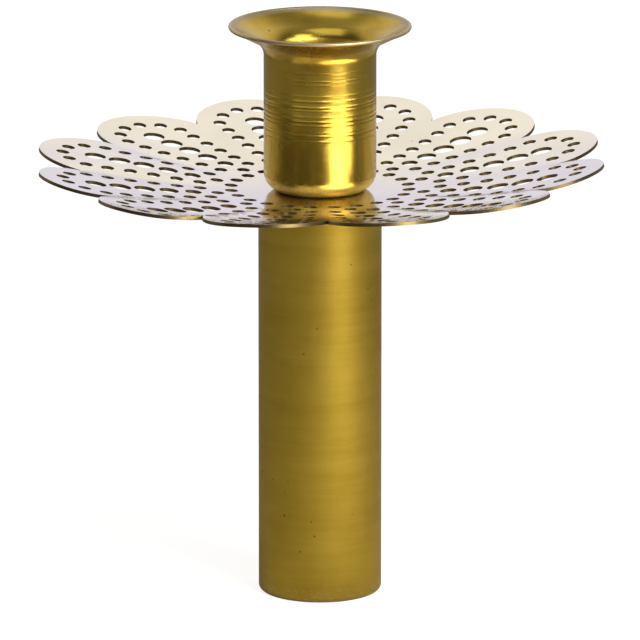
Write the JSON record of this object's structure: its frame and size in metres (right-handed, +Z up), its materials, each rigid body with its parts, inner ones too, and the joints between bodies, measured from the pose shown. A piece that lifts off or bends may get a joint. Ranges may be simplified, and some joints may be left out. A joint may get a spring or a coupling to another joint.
{
  "type": "bottle candle holder",
  "caption": "Brass candle holder for a bottle's neck: flared candle cup, dished and pierced petal drip pan, and a long closed tube, held by one screw.",
  "frame": {"origin": "centre of the tube's closed lower end, on the surface that the holder stands on", "axes": "+Z up along the common axis of tube, pan and cup; one notch between two petals faces -Y"},
  "size_m": [0.1134, 0.1134, 0.1176],
  "materials": {
    "cup_brass": "drawn and turned, glossy, with lathe lines and age spots",
    "pan_brass": "polished pale brass sheet with fine scratches",
    "tube_brass": "satin, brushed round the tube, lacquered, small pits",
    "turned_brass": "bright turned brass"
  },
  "bodies": {
    "root": {"candle_cup": "cup_brass", "drip_pan": "pan_brass", "bottle_tube": "tube_brass", "end_plug": "turned_brass", "clamp_screw": "turned_brass", "washer": "turned_brass"}
  },
  "joints": []
}
